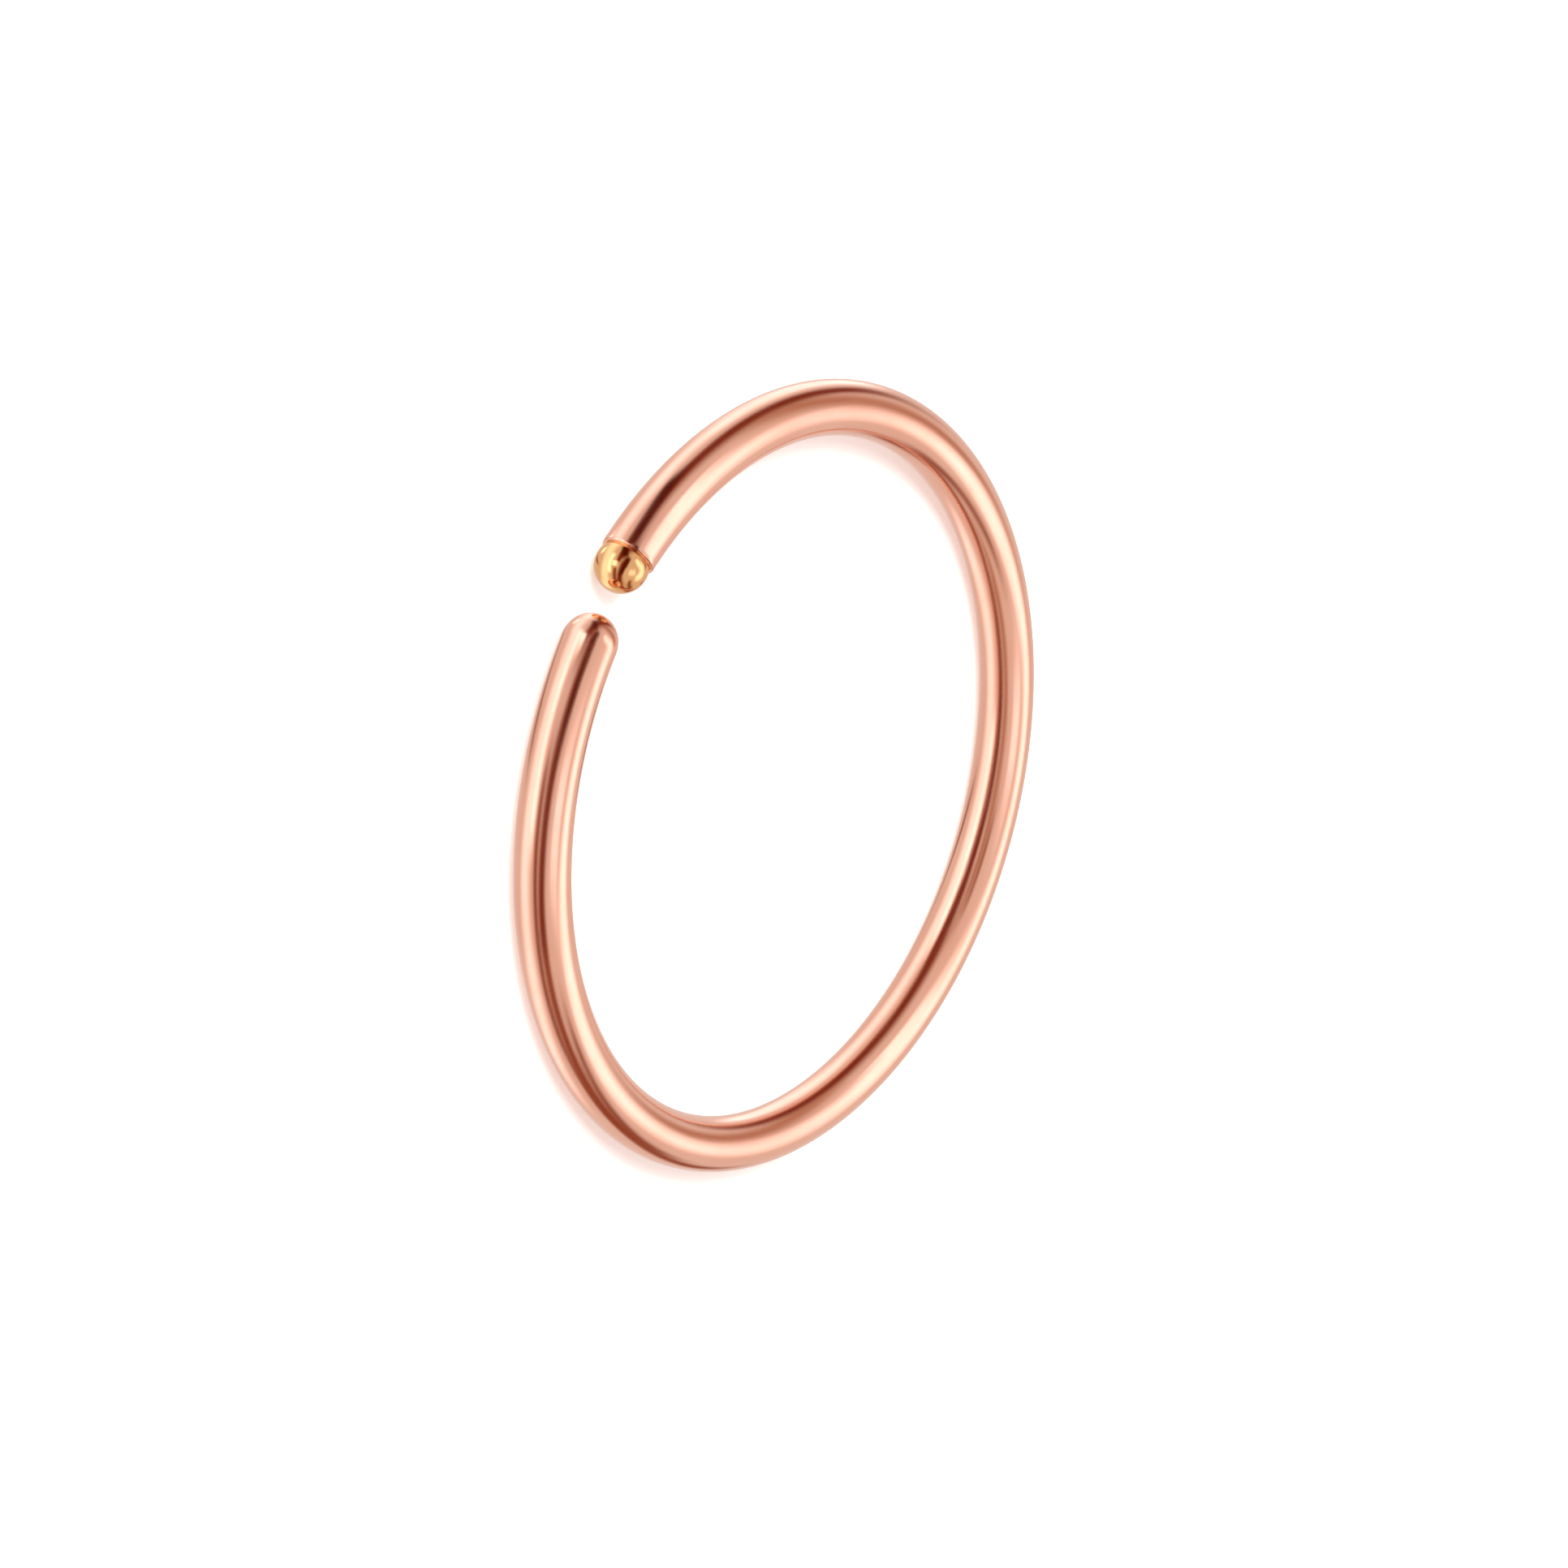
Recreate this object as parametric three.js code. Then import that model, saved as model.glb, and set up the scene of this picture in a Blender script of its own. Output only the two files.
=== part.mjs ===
// Nose ring: an open hoop of round polished wire with a ball end, in millimetres, +Z up.
//
// The hoop lies on its side, as it does on a table. Its axis is the Z axis, the lowest point of
// the wire is at z = 0, and the gap between its two ends faces -Y. One end of the wire is cut
// flat and carries a soldered ball. The other end is rounded. The hoop has been sprung open
// once: both ends stand a little outside its circle, and the plain end a little above the rest.
// Soldered metal is one piece of metal, so the hoop and its ball are one solid.

import * as THREE from 'three';

// Driving dimensions, in millimetres and degrees
const hoopInnerDiameter = 10.0;
const wireDiameter = 0.812;
const gapWidth = 0.39;
const gapDirection = 270;
const ballDiameter = 0.78;
const ballStandOff = 0.16;
const plainEndLength = 0.44;
const endOpening = 0.15;
const plainEndRise = 0.08;
const openedArc = 103;

// Fineness of the faceted surface
const wireSides = 24;
const wireSteps = 96;
const endSteps = 8;

// Sizes that follow from the driving ones. The wire is bent from the shoulder of its plain end,
// counterclockwise, to the flat cut under the ball, and both angles are counted from +X.
const wireRadius = wireDiameter / 2;
const ballRadius = ballDiameter / 2;
const centreLineRadius = hoopInnerDiameter / 2 + wireRadius;
const endRadius = centreLineRadius + endOpening;
const gapAngle = THREE.MathUtils.degToRad(gapDirection);
const shoulderAngle = gapAngle + (gapWidth / 2 + plainEndLength) / endRadius;
const flatCutAngle = gapAngle + 2 * Math.PI - (gapWidth / 2 + ballRadius + ballStandOff) / endRadius;

// The wire's centre line from the shoulder to the flat cut: a circle whose two arms leave it
// gently, each over its last stretch, as a share that grows from 0 to 1 at the arm's end
class CentreLine extends THREE.Curve {
  getPoint(share, point = new THREE.Vector3()) {
    const angle = THREE.MathUtils.lerp(shoulderAngle, flatCutAngle, share);
    const opened = THREE.MathUtils.degToRad(openedArc);
    const plainArm = Math.max(0, 1 - (angle - shoulderAngle) / opened) ** 2;
    const ballArm = Math.max(0, 1 - (flatCutAngle - angle) / opened) ** 2;
    const radius = centreLineRadius + endOpening * (plainArm + ballArm);
    const height = wireRadius + plainEndRise * plainArm;
    return point.set(radius * Math.cos(angle), radius * Math.sin(angle), height);
  }
}

const centreLine = new CentreLine();

// Sections of the rounded plain end, a half ellipse. A section has a radius, a share of the
// centre line, and a distance straight beyond that place, along the wire.
function plainEndSections() {
  return Array.from({ length: endSteps }, (_, step) => {
    const turn = ((step + 1) / endSteps) * (Math.PI / 2);
    return { share: 0, beyond: -plainEndLength * Math.cos(turn), radius: wireRadius * Math.sin(turn) };
  });
}

// Sections of the bent wire, all of the same radius, up to its flat cut
function wireSections() {
  return Array.from({ length: wireSteps }, (_, step) => (
    { share: (step + 1) / wireSteps, beyond: 0, radius: wireRadius }
  ));
}

// Sections of the ball, from where it comes out of the flat cut to next to its far point
function ballSections() {
  const ballSteps = 2 * endSteps;
  const neckTurn = Math.acos(-ballStandOff / ballRadius);
  return Array.from({ length: ballSteps }, (_, step) => {
    const turn = neckTurn * (1 - step / ballSteps);
    return {
      share: 1,
      beyond: ballStandOff + ballRadius * Math.cos(turn),
      radius: ballRadius * Math.sin(turn),
    };
  });
}

// The middle of a section, and the two directions across the wire there
function placeOf({ share, beyond }) {
  const forward = centreLine.getTangent(share);
  const outward = new THREE.Vector3().crossVectors(forward, new THREE.Vector3(0, 0, 1)).normalize();
  const upward = new THREE.Vector3().crossVectors(outward, forward);
  const middle = centreLine.getPoint(share).addScaledVector(forward, beyond);
  return { middle, outward, upward };
}

// The corners of a section, set round the wire's circle so that its flat sides touch it. One
// side is underneath, so the wire rests on a flat strip and has its full width.
function cornersOf(section) {
  const { middle, outward, upward } = placeOf(section);
  const cornerRadius = section.radius / Math.cos(Math.PI / wireSides);
  return Array.from({ length: wireSides }, (_, side) => {
    const turn = ((side + 0.5) / wireSides) * 2 * Math.PI;
    return middle.clone()
      .addScaledVector(outward, cornerRadius * Math.cos(turn))
      .addScaledVector(upward, cornerRadius * Math.sin(turn));
  });
}

// A closed surface over a row of sections, with one point before them and one after them
function closedSurface(firstTip, sections, lastTip) {
  const points = [firstTip, ...sections.flatMap(cornersOf), lastTip];
  const lastPoint = points.length - 1;
  const lastSection = sections.length - 1;
  const corner = (section, side) => 1 + section * wireSides + (side % wireSides);

  const faces = [];
  for (let side = 0; side < wireSides; side += 1) {
    faces.push(0, corner(0, side), corner(0, side + 1));
    for (let section = 0; section < lastSection; section += 1) {
      const [near, nearNext] = [corner(section, side), corner(section, side + 1)];
      const [far, farNext] = [corner(section + 1, side), corner(section + 1, side + 1)];
      faces.push(near, far, farNext, near, farNext, nearNext);
    }
    faces.push(lastPoint, corner(lastSection, side + 1), corner(lastSection, side));
  }

  const geometry = new THREE.BufferGeometry().setFromPoints(points);
  geometry.setIndex(faces);
  geometry.computeVertexNormals();
  return geometry;
}

function hoopWithBallEnd() {
  const plainTip = placeOf({ share: 0, beyond: -plainEndLength }).middle;
  const ballTip = placeOf({ share: 1, beyond: ballStandOff + ballRadius }).middle;
  const sections = [...plainEndSections(), ...wireSections(), ...ballSections()];
  const roseGold = new THREE.MeshStandardMaterial({
    color: 0xe6a98b,
    metalness: 1.0,
    roughness: 0.12,
  });
  const hoop = new THREE.Mesh(closedSurface(plainTip, sections, ballTip), roseGold);
  hoop.name = 'hoop_with_ball_end';
  return hoop;
}

const noseRing = new THREE.Group();
noseRing.add(hoopWithBallEnd());

export default noseRing;
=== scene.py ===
"""A nose ring of polished gold wire with a ball end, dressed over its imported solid.

The bent wire is a smooth sweep along the solid's own centre line, in rose gold. The ball that is
soldered to its flat cut is yellow gold. Around the ring stand a pale floor, soft white light,
the cloths that the polished metal mirrors, and the camera. Lengths are in metres, and angles are
in radians where nothing else is said.
"""

import logging
import math
from dataclasses import dataclass
from enum import Enum
from typing import Any, NamedTuple

import bmesh
import bpy
from mathutils import Matrix, Vector

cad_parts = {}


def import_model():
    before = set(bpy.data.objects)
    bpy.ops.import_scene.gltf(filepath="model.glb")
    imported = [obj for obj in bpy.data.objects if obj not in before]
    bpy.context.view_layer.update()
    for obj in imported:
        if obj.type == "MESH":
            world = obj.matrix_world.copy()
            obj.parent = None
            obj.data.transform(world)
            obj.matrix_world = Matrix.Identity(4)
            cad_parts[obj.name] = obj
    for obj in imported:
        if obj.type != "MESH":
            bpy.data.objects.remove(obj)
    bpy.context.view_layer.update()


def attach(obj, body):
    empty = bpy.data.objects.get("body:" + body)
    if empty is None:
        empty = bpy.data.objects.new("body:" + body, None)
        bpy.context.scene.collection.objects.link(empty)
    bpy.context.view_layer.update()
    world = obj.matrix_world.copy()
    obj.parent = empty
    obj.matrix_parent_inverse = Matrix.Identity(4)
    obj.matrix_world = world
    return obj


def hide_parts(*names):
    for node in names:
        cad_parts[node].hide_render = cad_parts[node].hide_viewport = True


MM = 0.001
QUARTER_TURN = math.pi / 2
SMALL_TURN = 1e-4
SOLID = "hoop_with_ball_end"

log = logging.getLogger("nose_ring")

Socket = bpy.types.NodeSocket
Sockets = dict[str, Socket]


def linear(colour: str) -> tuple[float, float, float, float]:
    """Turns an sRGB hex colour into Blender's linear one.

    Args:
        colour: Six hex digits, red first.

    Returns:
        Red, green, blue and an alpha of 1.
    """
    shares = [int(colour[place:place + 2], 16) / 255 for place in (0, 2, 4)]
    red, green, blue = (
        share / 12.92 if share <= 0.04045 else ((share + 0.055) / 1.055) ** 2.4
        for share in shares
    )
    return red, green, blue, 1.0


def add_node(
    tree: bpy.types.NodeTree, kind: str, feeds: dict | None = None, **settings: Any,
) -> bpy.types.Node:
    """Adds a node with its settings and links.

    Args:
        tree: The tree that gets the node.
        kind: The node's type name.
        feeds: For an input, by name or place, the socket that is linked to it or its value.
        settings: The node's own properties.

    Returns:
        The new node.
    """
    node = tree.nodes.new(kind)
    for name, value in settings.items():
        setattr(node, name, value)
    for name, value in (feeds or {}).items():
        if isinstance(value, Socket):
            tree.links.new(value, node.inputs[name])
        else:
            node.inputs[name].default_value = value
    return node


def empty_material(name: str) -> bpy.types.Material:
    """Makes a material that has no nodes yet."""
    material = bpy.data.materials.new(name)
    material.use_nodes = True
    material.node_tree.nodes.clear()
    return material


def new_object(name: str, mesh: bpy.types.Mesh) -> bpy.types.Object:
    """Puts a mesh in the scene as an object at the origin.

    Args:
        name: The object's name.
        mesh: Its mesh, already in place.

    Returns:
        The new object.
    """
    thing = bpy.data.objects.new(name, mesh)
    bpy.context.scene.collection.objects.link(thing)
    return thing


def object_from(name: str, made: bmesh.types.BMesh, material: bpy.types.Material) -> bpy.types.Object:
    """Turns finished mesh data into an object of one material.

    Args:
        name: The name of the object and its mesh.
        made: The mesh data, which this frees.
        material: What the object is made of.

    Returns:
        The new object.
    """
    mesh = bpy.data.meshes.new(name)
    made.to_mesh(mesh)
    made.free()
    mesh.materials.append(material)
    return new_object(name, mesh)


@dataclass(frozen=True)
class RingSizes:
    """The ring's driving sizes, in metres and radians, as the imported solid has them."""

    hoop_inner_diameter: float = 10.0 * MM
    wire_diameter: float = 0.812 * MM
    gap_width: float = 0.39 * MM
    gap_direction: float = math.radians(270)
    ball_diameter: float = 0.78 * MM
    ball_stand_off: float = 0.16 * MM
    plain_end_length: float = 0.44 * MM
    end_opening: float = 0.15 * MM
    plain_end_rise: float = 0.08 * MM
    opened_arc: float = math.radians(103)

    @property
    def wire_radius(self) -> float:
        """Half the wire's diameter."""
        return self.wire_diameter / 2

    @property
    def ball_radius(self) -> float:
        """Half the ball's diameter."""
        return self.ball_diameter / 2

    @property
    def centre_line_radius(self) -> float:
        """From the ring's axis to the middle of the wire, away from its ends."""
        return self.hoop_inner_diameter / 2 + self.wire_radius

    @property
    def end_radius(self) -> float:
        """From the ring's axis to the middle of the wire at its two ends."""
        return self.centre_line_radius + self.end_opening

    @property
    def shoulder_angle(self) -> float:
        """Where the bent wire begins, behind its rounded plain end."""
        return self.gap_direction + (self.gap_width / 2 + self.plain_end_length) / self.end_radius

    @property
    def flat_cut_angle(self) -> float:
        """Where the bent wire ends, at the flat cut under the ball."""
        back = self.gap_width / 2 + self.ball_radius + self.ball_stand_off
        return self.gap_direction + math.tau - back / self.end_radius

    def centre_line(self, angle: float) -> Vector:
        """The middle of the wire at an angle round the ring.

        Args:
            angle: From the shoulder angle to the flat cut angle.

        Returns:
            The point, in the row frame.
        """
        plain_arm = max(0.0, 1 - (angle - self.shoulder_angle) / self.opened_arc) ** 2
        ball_arm = max(0.0, 1 - (self.flat_cut_angle - angle) / self.opened_arc) ** 2
        radius = self.centre_line_radius + self.end_opening * (plain_arm + ball_arm)
        height = self.wire_radius + self.plain_end_rise * plain_arm
        return Vector((radius * math.cos(angle), radius * math.sin(angle), height))

    def forward(self, angle: float) -> Vector:
        """The wire's direction at one of its two ends, by a small turn from there along the wire.

        Args:
            angle: The shoulder angle or the flat cut angle.

        Returns:
            A unit vector that points from the plain end towards the ball.
        """
        here = self.centre_line(angle)
        if angle <= self.shoulder_angle:
            return (self.centre_line(angle + SMALL_TURN) - here).normalized()
        return (here - self.centre_line(angle - SMALL_TURN)).normalized()


@dataclass(frozen=True)
class PolishedGold:
    """A 14 karat gold alloy, cast or drawn, then buffed to a mirror.

    To the eye it is a clear mirror in the alloy's own colour, with a faint haze that changes from
    place to place, and hairlines that run the way the buff ran.
    """

    name: str
    colour: str
    worn_colour: str
    roughness: float
    haze: float
    haze_begins: float = 0.12
    haze_is_full: float = 0.42
    cloud_size: float = 1.1 * MM
    cloud_detail: float = 3.0
    cloud_roughness: float = 0.55
    hairline_width: float = 0.03 * MM
    hairline_length: float = 1.6 * MM
    hairline_depth: float = 0.0001 * MM
    hairline_detail: float = 2.0
    hairline_roughness: float = 0.6
    ripple_size: float = 0.9 * MM
    ripple_height: float = 0.0012 * MM
    ripple_detail: float = 1.0

    def material(self, straight: bool) -> bpy.types.Material:
        """Builds the material.

        Args:
            straight: True where the mesh carries the wire's own lengthwise place, so that the
                hairlines follow the bend. Otherwise they run straight up the piece.

        Returns:
            The new material.
        """
        material = empty_material(self.name)
        tree = material.node_tree
        place = add_node(tree, "ShaderNodeTexCoord").outputs["Object"]
        along = self.lengthwise(tree) if straight else place

        # Buffing leaves soft clouds about a millimetre wide, seen as a slight change of colour
        cloud = add_node(tree, "ShaderNodeTexNoise", {
            "Vector": place, "Scale": 1 / self.cloud_size,
            "Detail": self.cloud_detail, "Roughness": self.cloud_roughness,
        })
        colour = add_node(tree, "ShaderNodeMix", {
            "Factor": cloud.outputs["Fac"], "A": linear(self.colour), "B": linear(self.worn_colour),
        }, data_type="RGBA")

        # Real buffing lines are under 5 micrometres wide. They are drawn coarser, or none shows.
        stretch = add_node(tree, "ShaderNodeMapping", {
            "Vector": along,
            "Scale": (1 / self.hairline_width, 1 / self.hairline_width, 1 / self.hairline_length),
        })
        hairline = add_node(tree, "ShaderNodeTexNoise", {
            "Vector": stretch.outputs["Vector"], "Scale": 1.0,
            "Detail": self.hairline_detail, "Roughness": self.hairline_roughness,
        })

        # The metal is duller where a cloud and its hairlines meet
        dull = add_node(tree, "ShaderNodeMath", {
            0: cloud.outputs["Fac"], 1: hairline.outputs["Fac"],
        }, operation="MULTIPLY")
        roughness = add_node(tree, "ShaderNodeMapRange", {
            "Value": dull.outputs[0], "From Min": self.haze_begins, "From Max": self.haze_is_full,
            "To Min": self.roughness, "To Max": self.roughness + self.haze,
        })

        # Hand buffing follows no straight edge, so a mirrored line wavers a little
        ripple = add_node(tree, "ShaderNodeTexNoise", {
            "Vector": place, "Scale": 1 / self.ripple_size, "Detail": self.ripple_detail,
        })
        waver = add_node(tree, "ShaderNodeBump", {
            "Height": ripple.outputs["Fac"], "Distance": self.ripple_height, "Strength": 1.0,
        })
        scratch = add_node(tree, "ShaderNodeBump", {
            "Height": hairline.outputs["Fac"], "Distance": self.hairline_depth, "Strength": 1.0,
            "Normal": waver.outputs["Normal"],
        })
        shader = add_node(tree, "ShaderNodeBsdfPrincipled", {
            "Base Color": colour.outputs["Result"], "Metallic": 1.0,
            "Roughness": roughness.outputs["Result"], "Normal": scratch.outputs["Normal"],
        })
        add_node(tree, "ShaderNodeOutputMaterial", {"Surface": shader.outputs["BSDF"]})
        return material

    def lengthwise(self, tree: bpy.types.NodeTree) -> Socket:
        """The place on the wire as if it were straight, across in X and Y and along in Z.

        Args:
            tree: The material's nodes.

        Returns:
            The socket that gives it, in metres.
        """
        across = add_node(tree, "ShaderNodeAttribute", attribute_name="across_wire")
        along = add_node(tree, "ShaderNodeAttribute", attribute_name="along_wire")
        split = add_node(tree, "ShaderNodeSeparateXYZ", {"Vector": across.outputs["Vector"]})
        return add_node(tree, "ShaderNodeCombineXYZ", {
            "X": split.outputs["X"], "Y": split.outputs["Y"], "Z": along.outputs["Fac"],
        }).outputs["Vector"]


ROSE_GOLD = PolishedGold(
    name="rose_gold_drawn_and_buffed", colour="F4C5AD", worn_colour="ECB499",
    roughness=0.15, haze=0.08,
)
YELLOW_GOLD = PolishedGold(
    name="yellow_gold_cast_and_buffed", colour="F6CB93", worn_colour="E0A76B",
    roughness=0.08, haze=0.05,
)


class SweepRows(NamedTuple):
    """How many rows the wire's sweep has, and how far a row is through each of its stretches."""

    count: Socket
    end_turn: Socket
    angle: Socket
    rim_turn: Socket


@dataclass
class HoopWire:
    """The bent wire, from its rounded plain end to the flat cut under the ball."""

    sizes: RingSizes
    finish: PolishedGold
    sides: int = 64
    end_rows: int = 24
    wire_rows: int = 480
    rim_rows: int = 6
    row_shift: float = 0.5
    rim_radius: float = 0.03 * MM
    merge_distance: float = 0.0001 * MM

    def sweep(self, material: bpy.types.Material) -> bpy.types.NodeTree:
        """Builds the tree that sweeps the wire's circle along the centre line.

        Args:
            material: What the wire is made of.

        Returns:
            The geometry tree, with the wire's sizes as its named inputs.
        """
        tree = bpy.data.node_groups.new("bent_wire_sweep", "GeometryNodeTree")
        tree.interface.new_socket("Geometry", in_out="OUTPUT", socket_type="NodeSocketGeometry")
        tree.interface.new_socket("Geometry", in_out="INPUT", socket_type="NodeSocketGeometry")
        for name, kind in self.inputs().items():
            tree.interface.new_socket(name, in_out="INPUT", socket_type=kind)
        given = {socket.name: socket for socket in add_node(tree, "NodeGroupInput").outputs}
        rows = self.rows(tree, given)

        # The path carries how far along the wire each row is, and the circle its own flat place
        line = add_node(tree, "GeometryNodeCurvePrimitiveLine").outputs["Curve"]
        path = add_node(tree, "GeometryNodeResampleCurve", {
            "Curve": line, "Count": rows.count,
        }).outputs["Curve"]
        path = add_node(tree, "GeometryNodeSetPosition", {
            "Geometry": path, "Position": self.place(tree, given, rows),
        }).outputs["Geometry"]
        path = add_node(tree, "GeometryNodeStoreNamedAttribute", {
            "Geometry": path, "Name": "along_wire",
            "Value": add_node(tree, "GeometryNodeSplineParameter").outputs["Length"],
        }, data_type="FLOAT", domain="POINT").outputs["Geometry"]
        circle = add_node(tree, "GeometryNodeCurvePrimitiveCircle", {
            "Resolution": given["Sides"], "Radius": given["Wire Radius"],
        }).outputs["Curve"]
        circle = add_node(tree, "GeometryNodeStoreNamedAttribute", {
            "Geometry": circle, "Name": "across_wire",
            "Value": add_node(tree, "GeometryNodeInputPosition").outputs["Position"],
        }, data_type="FLOAT_VECTOR", domain="POINT").outputs["Geometry"]

        wire = add_node(tree, "GeometryNodeCurveToMesh", {
            "Curve": path, "Profile Curve": circle, "Scale": self.width(tree, given, rows),
            "Fill Caps": True,
        }).outputs["Mesh"]
        for kind, feeds in (
            ("GeometryNodeMergeByDistance", {"Distance": self.merge_distance}),
            ("GeometryNodeSetShadeSmooth", {"Shade Smooth": True}),
            ("GeometryNodeRealizeInstances", {}),
            ("GeometryNodeSetMaterial", {"Material": material}),
        ):
            wire = add_node(tree, kind, {"Geometry": wire, **feeds}).outputs["Geometry"]
        add_node(tree, "NodeGroupOutput", {"Geometry": wire})
        return tree

    def rows(self, tree: bpy.types.NodeTree, given: Sockets) -> SweepRows:
        """Shares the sweep's rows out: the rounded end, then the bent wire, then the cut's rim.

        Args:
            tree: The tree that gets the nodes.
            given: The tree's inputs.

        Returns:
            The rows' number, and the quarter turn of the rounded end, the angle round the ring
            and the quarter turn of the rim that a row has reached.
        """
        # The stretches meet midway between two rows, so the last row is half a row short of the end
        row = add_node(tree, "GeometryNodeSplineParameter").outputs["Index"]
        shoulder_row = add_node(tree, "ShaderNodeMath", {
            0: given["End Rows"], 1: self.row_shift,
        }, operation="ADD").outputs[0]
        cut_row = add_node(tree, "ShaderNodeMath", {
            0: shoulder_row, 1: given["Wire Rows"],
        }, operation="ADD").outputs[0]
        last_row = add_node(tree, "ShaderNodeMath", {
            0: cut_row, 1: given["Rim Rows"],
        }, operation="ADD").outputs[0]
        count = add_node(tree, "ShaderNodeMath", {0: last_row, 1: 1.0}, operation="ADD").outputs[0]
        end_turn = add_node(tree, "ShaderNodeMapRange", {
            "Value": row, "From Max": shoulder_row, "To Max": QUARTER_TURN,
        }).outputs["Result"]
        angle = add_node(tree, "ShaderNodeMapRange", {
            "Value": row, "From Min": shoulder_row, "From Max": cut_row,
            "To Min": given["Shoulder Angle"], "To Max": given["Cut Angle"],
        }).outputs["Result"]
        rim_turn = add_node(tree, "ShaderNodeMapRange", {
            "Value": row, "From Min": cut_row, "From Max": last_row, "To Max": QUARTER_TURN,
        }).outputs["Result"]
        return SweepRows(count, end_turn, angle, rim_turn)

    def middle(self, tree: bpy.types.NodeTree, given: Sockets, angle: Socket) -> Socket:
        """The centre line in nodes, as the ring's sizes give it.

        Args:
            tree: The tree that gets the nodes.
            given: The tree's inputs.
            angle: The angle round the ring.

        Returns:
            The middle of the wire at that angle.
        """
        # Each arm leaves the circle gently, by the square of what is left of its opened arc
        plain_until = add_node(tree, "ShaderNodeMath", {
            0: given["Shoulder Angle"], 1: given["Opened Arc"],
        }, operation="ADD").outputs[0]
        ball_from = add_node(tree, "ShaderNodeMath", {
            0: given["Cut Angle"], 1: given["Opened Arc"],
        }, operation="SUBTRACT").outputs[0]
        plain_share = add_node(tree, "ShaderNodeMapRange", {
            "Value": angle, "From Min": given["Shoulder Angle"], "From Max": plain_until,
            "To Min": 1.0, "To Max": 0.0,
        }).outputs["Result"]
        ball_share = add_node(tree, "ShaderNodeMapRange", {
            "Value": angle, "From Min": ball_from, "From Max": given["Cut Angle"],
        }).outputs["Result"]
        plain_arm = add_node(tree, "ShaderNodeMath", {
            0: plain_share, 1: plain_share,
        }, operation="MULTIPLY").outputs[0]
        both_arms = add_node(tree, "ShaderNodeMath", {
            0: ball_share, 1: ball_share, 2: plain_arm,
        }, operation="MULTIPLY_ADD").outputs[0]

        radius = add_node(tree, "ShaderNodeMath", {
            0: both_arms, 1: given["End Opening"], 2: given["Centre Line Radius"],
        }, operation="MULTIPLY_ADD").outputs[0]
        height = add_node(tree, "ShaderNodeMath", {
            0: plain_arm, 1: given["Plain End Rise"], 2: given["Wire Radius"],
        }, operation="MULTIPLY_ADD").outputs[0]
        outward = add_node(tree, "ShaderNodeCombineXYZ", {
            "X": add_node(tree, "ShaderNodeMath", {0: angle}, operation="COSINE").outputs[0],
            "Y": add_node(tree, "ShaderNodeMath", {0: angle}, operation="SINE").outputs[0],
        }).outputs["Vector"]
        risen = add_node(tree, "ShaderNodeCombineXYZ", {"Z": height}).outputs["Vector"]
        return add_node(tree, "ShaderNodeVectorMath", {
            0: outward, 1: radius, 2: risen,
        }, operation="MULTIPLY_ADD").outputs["Vector"]

    def place(self, tree: bpy.types.NodeTree, given: Sockets, rows: SweepRows) -> Socket:
        """A row's middle. The rounded end runs straight back, and the rim straight on to the cut.

        Args:
            tree: The tree that gets the nodes.
            given: The tree's inputs.
            rows: How far a row is through each stretch.

        Returns:
            The point that the row's circle is set round.
        """
        end_cosine = add_node(tree, "ShaderNodeMath", {0: rows.end_turn}, operation="COSINE").outputs[0]
        back = add_node(tree, "ShaderNodeMath", {
            0: end_cosine, 1: given["Plain End Length"],
        }, operation="MULTIPLY").outputs[0]
        rim_sine = add_node(tree, "ShaderNodeMath", {0: rows.rim_turn}, operation="SINE").outputs[0]
        on = add_node(tree, "ShaderNodeMath", {
            0: rim_sine, 1: given["Rim Radius"],
        }, operation="MULTIPLY").outputs[0]
        with_end = add_node(tree, "ShaderNodeVectorMath", {
            0: given["Plain End Back"], 1: back, 2: self.middle(tree, given, rows.angle),
        }, operation="MULTIPLY_ADD").outputs["Vector"]
        return add_node(tree, "ShaderNodeVectorMath", {
            0: given["Cut Forward"], 1: on, 2: with_end,
        }, operation="MULTIPLY_ADD").outputs["Vector"]

    def width(self, tree: bpy.types.NodeTree, given: Sockets, rows: SweepRows) -> Socket:
        """A row's width: a half ellipse at the plain end, and a small round at the cut's rim.

        Args:
            tree: The tree that gets the nodes.
            given: The tree's inputs.
            rows: How far a row is through each stretch.

        Returns:
            The row's radius as a share of the wire's.
        """
        end_sine = add_node(tree, "ShaderNodeMath", {0: rows.end_turn}, operation="SINE").outputs[0]
        rim_cosine = add_node(tree, "ShaderNodeMath", {0: rows.rim_turn}, operation="COSINE").outputs[0]
        turned_in = add_node(tree, "ShaderNodeMath", {
            0: 1.0, 1: rim_cosine,
        }, operation="SUBTRACT").outputs[0]
        rim_share = add_node(tree, "ShaderNodeMath", {
            0: given["Rim Radius"], 1: given["Wire Radius"],
        }, operation="DIVIDE").outputs[0]
        lost = add_node(tree, "ShaderNodeMath", {
            0: turned_in, 1: rim_share,
        }, operation="MULTIPLY").outputs[0]
        return add_node(tree, "ShaderNodeMath", {0: end_sine, 1: lost}, operation="SUBTRACT").outputs[0]

    @staticmethod
    def inputs() -> dict[str, str]:
        """The tree's named inputs and the kind of each."""
        numbers = (
            "Wire Radius", "Centre Line Radius", "End Opening", "Plain End Rise", "Plain End Length",
            "Rim Radius", "Shoulder Angle", "Cut Angle", "Opened Arc",
        )
        counts = ("Sides", "End Rows", "Wire Rows", "Rim Rows")
        directions = ("Plain End Back", "Cut Forward")
        return (
            dict.fromkeys(numbers, "NodeSocketFloat")
            | dict.fromkeys(counts, "NodeSocketInt")
            | dict.fromkeys(directions, "NodeSocketVector")
        )

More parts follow.
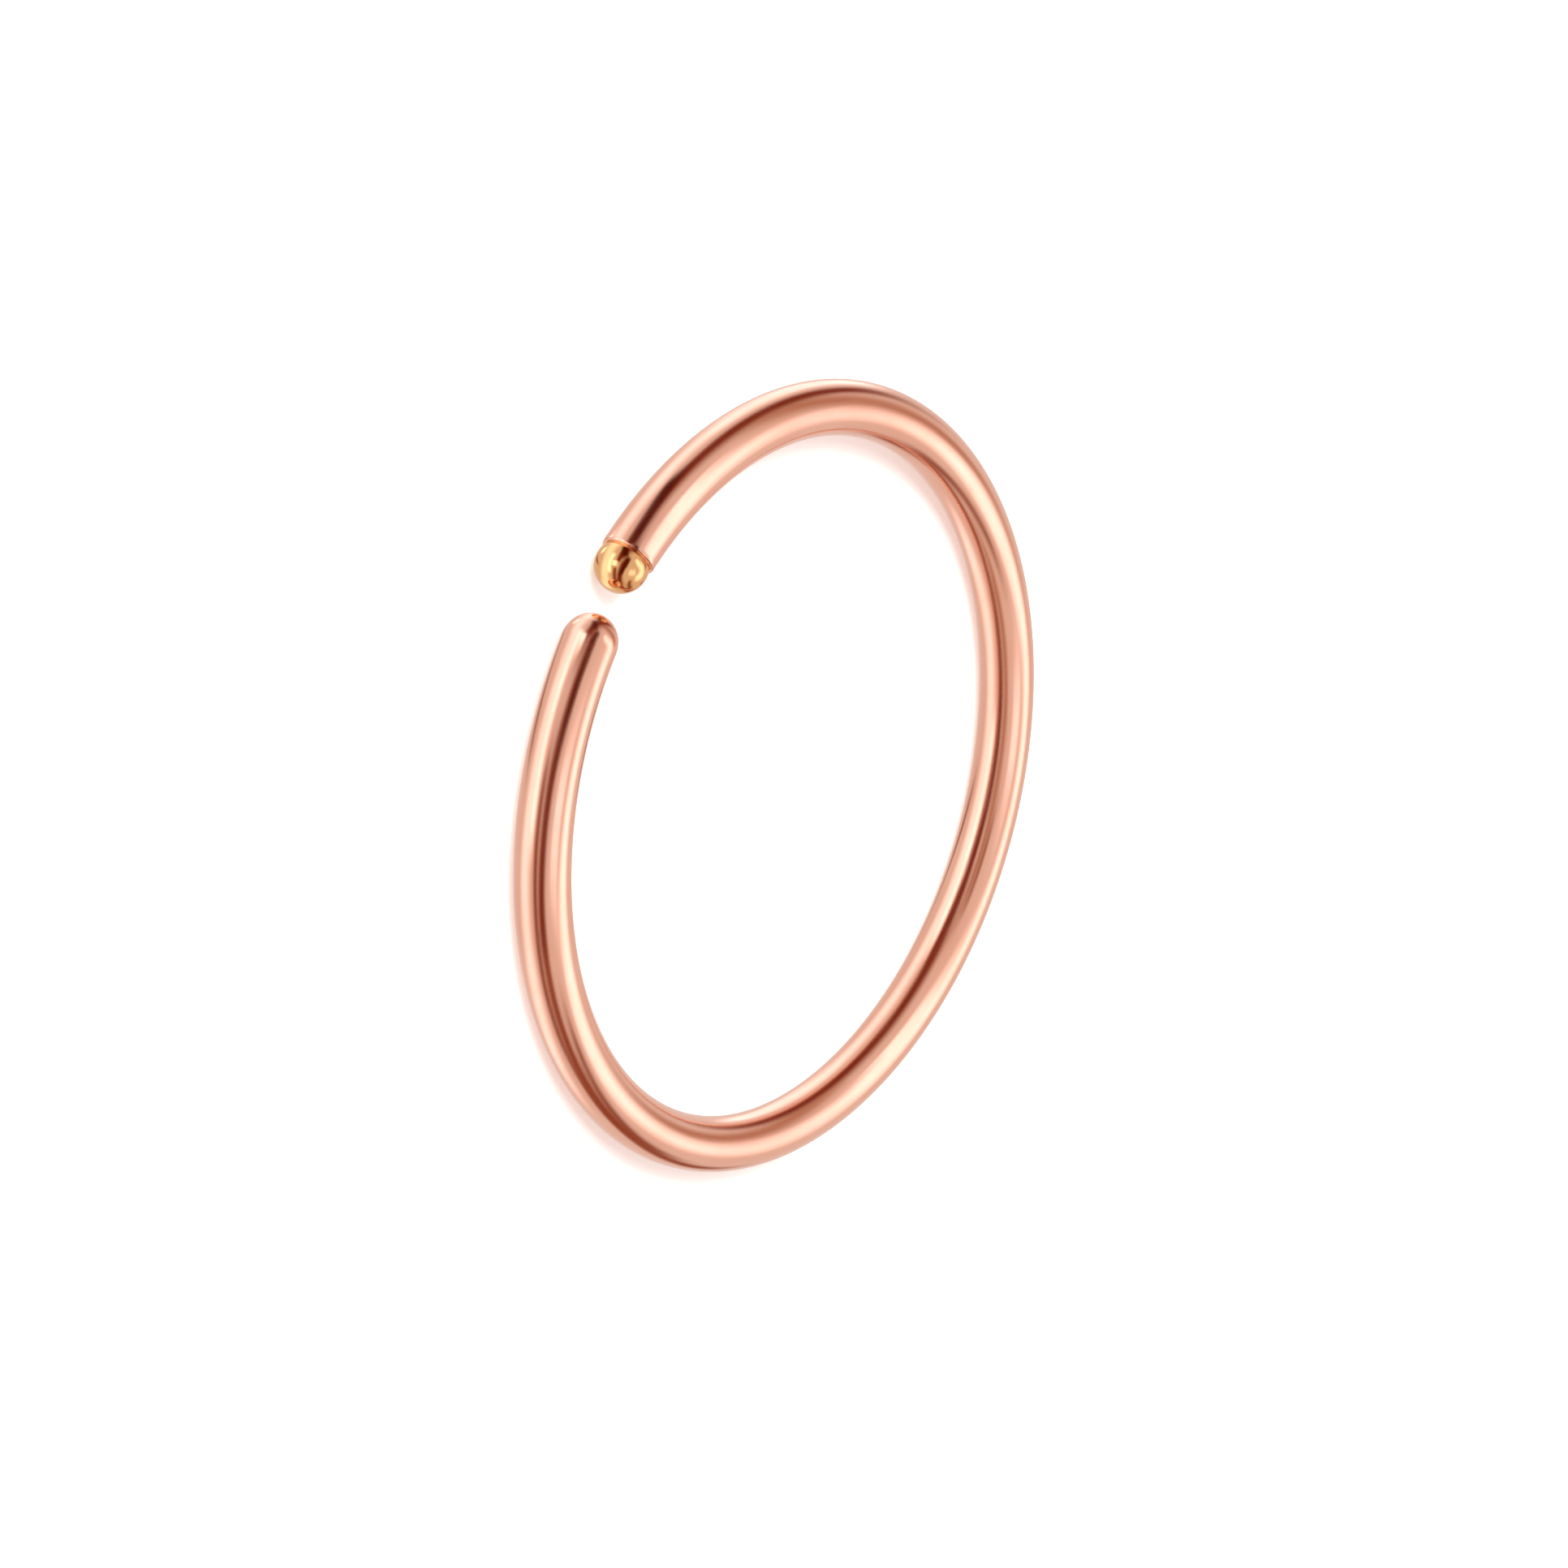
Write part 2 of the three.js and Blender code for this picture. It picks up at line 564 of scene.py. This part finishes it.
    def values(self) -> dict[str, Any]:
        """The value of each named input."""
        sizes = self.sizes
        return {
            "Wire Radius": sizes.wire_radius,
            "Centre Line Radius": sizes.centre_line_radius,
            "End Opening": sizes.end_opening,
            "Plain End Rise": sizes.plain_end_rise,
            "Plain End Length": sizes.plain_end_length,
            "Rim Radius": self.rim_radius,
            "Shoulder Angle": sizes.shoulder_angle,
            "Cut Angle": sizes.flat_cut_angle - self.rim_radius / sizes.end_radius,
            "Opened Arc": sizes.opened_arc,
            "Sides": self.sides,
            "End Rows": self.end_rows,
            "Wire Rows": self.wire_rows,
            "Rim Rows": self.rim_rows,
            "Plain End Back": -sizes.forward(sizes.shoulder_angle),
            "Cut Forward": sizes.forward(sizes.flat_cut_angle),
        }

    def build(self) -> bpy.types.Object:
        """Makes the wire's mesh and puts it on its body.

        Returns:
            The finished piece.
        """
        tree = self.sweep(self.finish.material(straight=True))
        start = new_object("hoop_wire_start", bpy.data.meshes.new("hoop_wire_start"))
        modifier = start.modifiers.new("sweep", "NODES")
        modifier.node_group = tree
        values = self.values()
        for item in tree.interface.items_tree:
            if item.in_out == "INPUT" and item.name in values:
                modifier[item.identifier] = values[item.name]
        graph = bpy.context.evaluated_depsgraph_get()
        mesh = bpy.data.meshes.new_from_object(start.evaluated_get(graph))
        mesh.name = "hoop_wire"
        bpy.data.objects.remove(start)
        wire = new_object("hoop_wire", mesh)
        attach(wire, "root")
        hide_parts(SOLID)
        return wire


@dataclass
class BallEnd:
    """The ball soldered to the wire's flat cut, which keeps the ring in the nose."""

    sizes: RingSizes
    finish: PolishedGold
    sides: int = 96
    rows: int = 64
    solder_rows: int = 5
    solder_radius: float = 0.010 * MM
    depth_in_wire: float = 0.05 * MM
    hidden_taper: float = 0.9

    def profile(self) -> list[Vector]:
        """The ball's outline from the pole inside the wire to its far pole.

        Returns:
            Pairs of a distance beyond the flat cut and a radius.
        """
        radius, stand_off = self.sizes.ball_radius, self.sizes.ball_stand_off
        neck_turn = math.acos(-stand_off / radius)
        neck_radius = radius * math.sin(neck_turn)
        solder_turn = neck_turn - self.solder_radius / radius
        turns = [solder_turn * (1 - row / self.rows) for row in range(self.rows)]
        ball = [Vector((stand_off + radius * math.cos(turn), radius * math.sin(turn))) for turn in turns]

        # The thread of solder rounds the corner between the cut's face and the ball
        foot = Vector((0.0, neck_radius + self.solder_radius))
        corner = Vector((0.0, neck_radius))
        shares = [row / self.solder_rows for row in range(1, self.solder_rows)]
        solder = [foot.lerp(corner, share).lerp(corner.lerp(ball[0], share), share) for share in shares]

        hidden = [
            Vector((-self.depth_in_wire, 0.0)),
            Vector((-self.depth_in_wire, foot.y * self.hidden_taper)),
        ]
        return [*hidden, foot, *solder, *ball, Vector((stand_off + radius, 0.0))]

    def build(self) -> bpy.types.Object:
        """Turns the outline round the wire's direction at the cut and puts the ball on its body.

        Returns:
            The finished piece.
        """
        cut = self.sizes.centre_line(self.sizes.flat_cut_angle)
        forward = self.sizes.forward(self.sizes.flat_cut_angle)
        outward = forward.cross(Vector((0, 0, 1))).normalized()
        upward = outward.cross(forward)
        turns = [math.tau * side / self.sides for side in range(self.sides)]
        spokes = [outward * math.cos(turn) + upward * math.sin(turn) for turn in turns]
        made = bmesh.new()
        rings = []
        for beyond, radius in self.profile():
            middle = cut + forward * beyond
            corners = [middle + spoke * radius for spoke in spokes] if radius else [middle]
            rings.append([made.verts.new(corner) for corner in corners])

        # At a pole all corners are one point, so its faces are triangles
        for near, far in zip(rings, rings[1:]):
            for side in range(self.sides):
                beside = side + 1
                corners = [
                    near[side % len(near)], near[beside % len(near)],
                    far[beside % len(far)], far[side % len(far)],
                ]
                made.faces.new(list(dict.fromkeys(corners)))
        bmesh.ops.recalc_face_normals(made, faces=made.faces)
        for face in made.faces:
            face.smooth = True
        ball = object_from("ball_end", made, self.finish.material(straight=False))
        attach(ball, "root")
        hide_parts(SOLID)
        return ball


class Cloth(Enum):
    """The studio's cloths, by the colour that they mirror into the metal."""

    SEPIA = "5A1B0A"
    UMBER = "80311A"
    RUSSET = "985237"
    CHESTNUT = "96583F"
    TAN = "BC8A72"
    SILK = "FFF8FF"


@dataclass(frozen=True)
class HungCloth:
    """A strip of cloth that hangs round the ring and is seen only in the polished metal.

    Its path is a row of azimuth, elevation and half width, all in degrees as seen from the ring.
    """

    name: str
    cloth: Cloth
    path: tuple[tuple[float, float, float], ...]
    glow: float = 1.0
    distance: float = 280 * MM
    softness: float = 0.7
    end_softness: float = 0.12
    steps: int = 8
    columns: tuple[float, ...] = (-1.0, -0.5, 0.0, 0.5, 1.0)

    @staticmethod
    def direction(azimuth: float, elevation: float) -> Vector:
        """The direction from the ring to a place round it."""
        turn, rise = math.radians(azimuth), math.radians(elevation)
        level = math.cos(rise)
        return Vector((math.cos(turn) * level, math.sin(turn) * level, math.sin(rise)))

    def stations(self) -> list[tuple[Vector, float]]:
        """The strip's middle line, in small steps.

        Returns:
            Directions from the ring, each with the strip's half width there in radians.
        """
        ends = [
            (self.direction(azimuth, elevation), math.radians(half))
            for azimuth, elevation, half in self.path
        ]
        found = []
        for (near, near_half), (far, far_half) in zip(ends, ends[1:]):
            for step in range(self.steps):
                share = step / self.steps
                found.append((near.slerp(far, share), near_half + (far_half - near_half) * share))
        return found + [ends[-1]]

    def material(self) -> bpy.types.Material:
        """Thin cloth lit from behind, whose light fades out softly towards its edges.

        Returns:
            The new material.
        """
        material = empty_material(f"lit_cloth_{self.name}")
        tree = material.node_tree
        place = add_node(tree, "ShaderNodeUVMap", uv_map="strip")
        split = add_node(tree, "ShaderNodeSeparateXYZ", {"Vector": place.outputs["UV"]})
        fades = []
        for axis, softness in (("X", self.end_softness), ("Y", self.softness)):
            from_middle = add_node(tree, "ShaderNodeMath", {0: split.outputs[axis]}, operation="ABSOLUTE")
            fade = add_node(tree, "ShaderNodeMapRange", {
                "Value": from_middle.outputs[0], "From Min": 1 - softness, "From Max": 1.0,
                "To Min": 1.0, "To Max": 0.0,
            }, interpolation_type="SMOOTHSTEP")
            fades.append(fade.outputs["Result"])
        cover = add_node(tree, "ShaderNodeMath", {0: fades[0], 1: fades[1]}, operation="MULTIPLY")
        clear = add_node(tree, "ShaderNodeBsdfTransparent")
        glow = add_node(tree, "ShaderNodeEmission", {
            "Color": linear(self.cloth.value), "Strength": self.glow,
        })
        mixed = add_node(tree, "ShaderNodeMixShader", {
            0: cover.outputs[0], 1: clear.outputs["BSDF"], 2: glow.outputs["Emission"],
        })
        add_node(tree, "ShaderNodeOutputMaterial", {"Surface": mixed.outputs["Shader"]})
        return material

    def build(self) -> bpy.types.Object:
        """Hangs the strip.

        Returns:
            The stage object.
        """
        stations = self.stations()
        last = len(stations) - 1
        made = bmesh.new()
        layer = made.loops.layers.uv.new("strip")
        rows = []
        for place, (direction, half) in enumerate(stations):
            ahead = stations[min(place + 1, last)][0] - stations[max(place - 1, 0)][0]
            hinge = direction.cross(direction.cross(ahead).normalized())
            turned = [Matrix.Rotation(half * column, 3, hinge) @ direction for column in self.columns]
            points = [made.verts.new(way * self.distance) for way in turned]
            spots = [(2 * place / last - 1, column) for column in self.columns]
            rows.append(list(zip(points, spots)))
        for near, far in zip(rows, rows[1:]):
            for corners in zip(near, near[1:], far[1:], far):
                face = made.faces.new([point for point, _ in corners])
                for loop, (_, spot) in zip(face.loops, corners):
                    loop[layer].uv = spot
        strip = object_from(f"cloth_{self.name}", made, self.material())
        strip.visible_camera = False
        strip.visible_shadow = False
        strip.visible_diffuse = False
        return strip


CLOTHS = (
    # Lit silks all round, for the broad highlights
    HungCloth(
        "key_silk", Cloth.SILK,
        ((52, 52, 17), (95, 42, 23), (122, 50, 20), (163, 62, 15), (190, 52, 12)),
        glow=2.0, softness=0.95, end_softness=0.2,
    ),
    HungCloth(
        "low_silk", Cloth.SILK, ((-118, -11, 14), (-30, -11, 14)),
        glow=2.3, softness=0.85, end_softness=0.35,
    ),
    HungCloth(
        "left_silk", Cloth.SILK, ((140, -20, 15), (200, -26, 15)),
        glow=2.1, softness=0.9, end_softness=0.3,
    ),
    HungCloth(
        "top_silk", Cloth.SILK, ((-30, 62, 19), (80, 70, 19)),
        glow=1.6, softness=1.0, end_softness=0.6,
    ),
    HungCloth(
        "under_silk", Cloth.SILK,
        (
            (142, -30, 24), (180, -30, 26), (225, -34, 28), (270, -30, 28),
            (315, -32, 28), (360, -30, 26), (415, -34, 20),
        ),
        glow=1.65, softness=0.95,
    ),
    # Dusk from straight below
    HungCloth(
        "under_cover", Cloth.CHESTNUT, ((45, -84, 30), (225, -84, 30)),
        softness=1.0, end_softness=0.8,
    ),
    # The long dark line in the hoop, and the dusk about it
    HungCloth(
        "dark_side", Cloth.UMBER,
        (
            (126, -2, 11), (162, 5, 13), (182, 7, 14), (205, 9, 15),
            (240, 15, 16), (268, 18, 14), (282, 17, 10),
        ),
        softness=0.85, end_softness=0.3,
    ),
    HungCloth(
        "dusk_side", Cloth.CHESTNUT,
        ((152, 6, 22), (182, 13, 24), (205, 16, 25), (240, 23, 24), (268, 28, 20)),
        distance=290 * MM, softness=1.0, end_softness=0.4,
    ),
    # Close to the gap, for the dark stem and the light spots in the ball
    HungCloth(
        "ball_flag", Cloth.SEPIA, ((-127, 1, 6), (-119, 6, 8), (-110, 12, 8.5), (-102, 18.5, 6)),
        distance=8.9 * MM, softness=0.7, end_softness=0.5,
    ),
    HungCloth(
        "ball_silk_low", Cloth.SILK, ((-112, -24, 7), (-100, -23, 7)),
        glow=2.6, distance=7.7 * MM, softness=0.8, end_softness=0.6,
    ),
    HungCloth(
        "ball_silk_front", Cloth.SILK, ((-93, 5, 6), (-82, 6, 6)),
        glow=2.3, distance=9.4 * MM, softness=0.8, end_softness=0.6,
    ),
    # Inside the hoop, because only the hoop's far side may mirror it
    HungCloth(
        "inside_band", Cloth.UMBER, ((90, 17, 13), (104, 19, 16), (119, 20, 13)),
        distance=3.2 * MM, softness=0.8, end_softness=0.5,
    ),
    # The dark line carried on round the right and the front, in a lighter cloth
    HungCloth(
        "dark_right", Cloth.RUSSET, ((14, 7, 10), (54, 1, 10), (84, -14, 10)),
        softness=0.85, end_softness=0.3,
    ),
    HungCloth(
        "dark_front", Cloth.RUSSET, ((-66, 13, 11), (-36, 10, 14), (1, 5, 13), (30, 2, 10)),
        distance=270 * MM, softness=0.9, end_softness=0.3,
    ),
    # Close to the ring, so that its near side and its far side mirror them at other heights
    HungCloth(
        "close_band", Cloth.UMBER,
        ((-125, 27, 10), (-88, 26, 12), (-60, 24, 12), (-31, 20, 11), (-16, 17.5, 10)),
        distance=11.5 * MM, softness=0.85, end_softness=0.3,
    ),
    HungCloth(
        "close_band_right", Cloth.RUSSET,
        ((-34, 21, 10), (-16, 18, 10), (10, 12.5, 10), (28, 8, 9), (46, 4, 7)),
        distance=11.7 * MM, softness=0.9, end_softness=0.5,
    ),
    HungCloth(
        "close_thread", Cloth.SEPIA, ((-115, 26, 7), (-88, 26.5, 7.5), (-56, 23, 7)),
        distance=10 * MM, softness=0.85, end_softness=0.4,
    ),
    # Warm cloths between the silks, for the soft browns beside the highlights
    HungCloth(
        "warm_above", Cloth.CHESTNUT, ((-114, 52, 9), (-84, 54, 10), (-56, 51, 9)),
        distance=260 * MM, softness=1.0, end_softness=0.6,
    ),
    HungCloth(
        "camera_side", Cloth.TAN,
        ((-122, 42, 15), (-88, 40, 17), (-54, 36, 17), (-20, 30, 15), (9, 22, 13), (45, 12, 11)),
        softness=1.0, end_softness=0.4,
    ),
    HungCloth(
        "warm_right", Cloth.CHESTNUT, ((26, 52, 11), (41, 30, 12), (54, 15, 12), (70, -2, 11)),
        softness=1.0, end_softness=0.4,
    ),
    HungCloth(
        "warm_back", Cloth.TAN, ((112, 20, 16), (140, 28, 17), (195, 22, 15)),
        softness=1.0, end_softness=0.5,
    ),
)


@dataclass(frozen=True)
class MattCard:
    """White card with a matt coat, which shows the eye no gloss, only soft shadows.

    A little light comes through it, so that the floor stays pale far from the lamp.
    """

    colour: str = "F7F4F2"
    roughness: float = 0.9
    specular: float = 0.2
    glow: float = 0.28

    def material(self) -> bpy.types.Material:
        """Builds the material.

        Returns:
            The new material.
        """
        material = empty_material("matt_white_card_floor")
        tree = material.node_tree
        shader = add_node(tree, "ShaderNodeBsdfPrincipled", {
            "Base Color": linear(self.colour), "Roughness": self.roughness,
            "Specular IOR Level": self.specular,
            "Emission Color": linear(self.colour), "Emission Strength": self.glow,
        })
        add_node(tree, "ShaderNodeOutputMaterial", {"Surface": shader.outputs["BSDF"]})
        return material


@dataclass(frozen=True)
class PhotoCamera:
    """The camera, at the photograph's angle to the ring.

    The photograph shows the ring upright on its rim. Here it lies on its side, so the camera is
    rolled by more than a quarter turn. It looks from beside the ring's middle, by the steps to
    its right, upwards and back that frame the ring as the photograph does.
    """

    azimuth: float = math.radians(-72.04)
    elevation: float = math.radians(35.29)
    roll: float = math.radians(105.14)
    ring_middle: tuple[float, float, float] = (0, 0, 0.4 * MM)
    steps: tuple[float, float, float] = (0.0149 * MM, -0.0756 * MM, 114.72 * MM)
    lens: float = 182.98
    sensor_width: float = 36.0
    nearest: float = 5 * MM

    def build(self) -> bpy.types.Object:
        """Sets the camera up.

        Returns:
            The camera.
        """
        data = bpy.data.cameras.new("camera")
        data.lens = self.lens
        data.sensor_width = self.sensor_width
        data.clip_start = self.nearest
        camera = bpy.data.objects.new("camera", data)
        bpy.context.scene.collection.objects.link(camera)
        camera.matrix_world = (
            Matrix.Translation(self.ring_middle)
            @ Matrix.Rotation(self.azimuth + QUARTER_TURN, 4, "Z")
            @ Matrix.Rotation(QUARTER_TURN - self.elevation, 4, "X")
            @ Matrix.Rotation(self.roll, 4, "Z")
            @ Matrix.Translation(self.steps)
        )
        bpy.context.scene.camera = camera
        return camera


@dataclass(frozen=True)
class Studio:
    """The pale floor, the soft light, the cloths and the camera."""

    card: MattCard = MattCard()
    floor_radius: float = 1.2
    floor_sides: int = 96
    light_colour: str = "EFE1DD"
    light_strength: float = 1.0
    overhead_power: float = 9.0
    overhead_size: float = 0.45
    overhead_place: tuple[float, float, float] = (-0.20, -0.56, 0.50)
    cloths: tuple[HungCloth, ...] = CLOTHS
    camera: PhotoCamera = PhotoCamera()

    def floor(self) -> bpy.types.Object:
        """Lays the plain floor, which the metal doesn't mirror.

        Returns:
            The stage object.
        """
        made = bmesh.new()
        bmesh.ops.create_circle(made, cap_ends=True, segments=self.floor_sides, radius=self.floor_radius)
        floor = object_from("floor", made, self.card.material())
        floor.visible_glossy = False
        return floor

    def light(self) -> bpy.types.World:
        """Lights the scene evenly from all round, as a white light tent does.

        Returns:
            The scene's world.
        """
        world = bpy.data.worlds.new("light_tent")
        world.use_nodes = True
        tree = world.node_tree
        tree.nodes.clear()
        glow = add_node(tree, "ShaderNodeBackground", {
            "Color": linear(self.light_colour), "Strength": self.light_strength,
        })
        add_node(tree, "ShaderNodeOutputWorld", {"Surface": glow.outputs["Background"]})
        bpy.context.scene.world = world
        return world

    def overhead(self) -> bpy.types.Object:
        """Hangs a soft overhead light that whitens the floor and isn't mirrored in the metal.

        Returns:
            The light.
        """
        data = bpy.data.lights.new("overhead", "AREA")
        data.energy = self.overhead_power
        data.size = self.overhead_size
        light = bpy.data.objects.new("overhead", data)
        light.visible_glossy = False
        bpy.context.scene.collection.objects.link(light)
        place = Vector(self.overhead_place)
        towards_ring = (-place).to_track_quat("-Z", "Y").to_matrix().to_4x4()
        light.matrix_world = Matrix.Translation(place) @ towards_ring
        return light

    def build(self) -> list[bpy.types.Object]:
        """Sets up the whole studio.

        Returns:
            The floor, the overhead light, the cloths and the camera.
        """
        self.light()
        view = bpy.context.scene.view_settings
        view.view_transform = "Standard"
        view.look = "None"
        return [
            self.floor(), self.overhead(), *(cloth.build() for cloth in self.cloths), self.camera.build(),
        ]


def main() -> None:
    """Loads the frame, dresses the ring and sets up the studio."""
    logging.basicConfig(level=logging.INFO, format="%(name)s: %(message)s")
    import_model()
    sizes = RingSizes()
    for part in (HoopWire(sizes, ROSE_GOLD), BallEnd(sizes, YELLOW_GOLD)):
        piece = part.build()
        log.info("%s has %d faces", piece.name, len(piece.data.polygons))
    for thing in Studio().build():
        log.info("%s is set", thing.name)


if __name__ == "__main__":
    main()
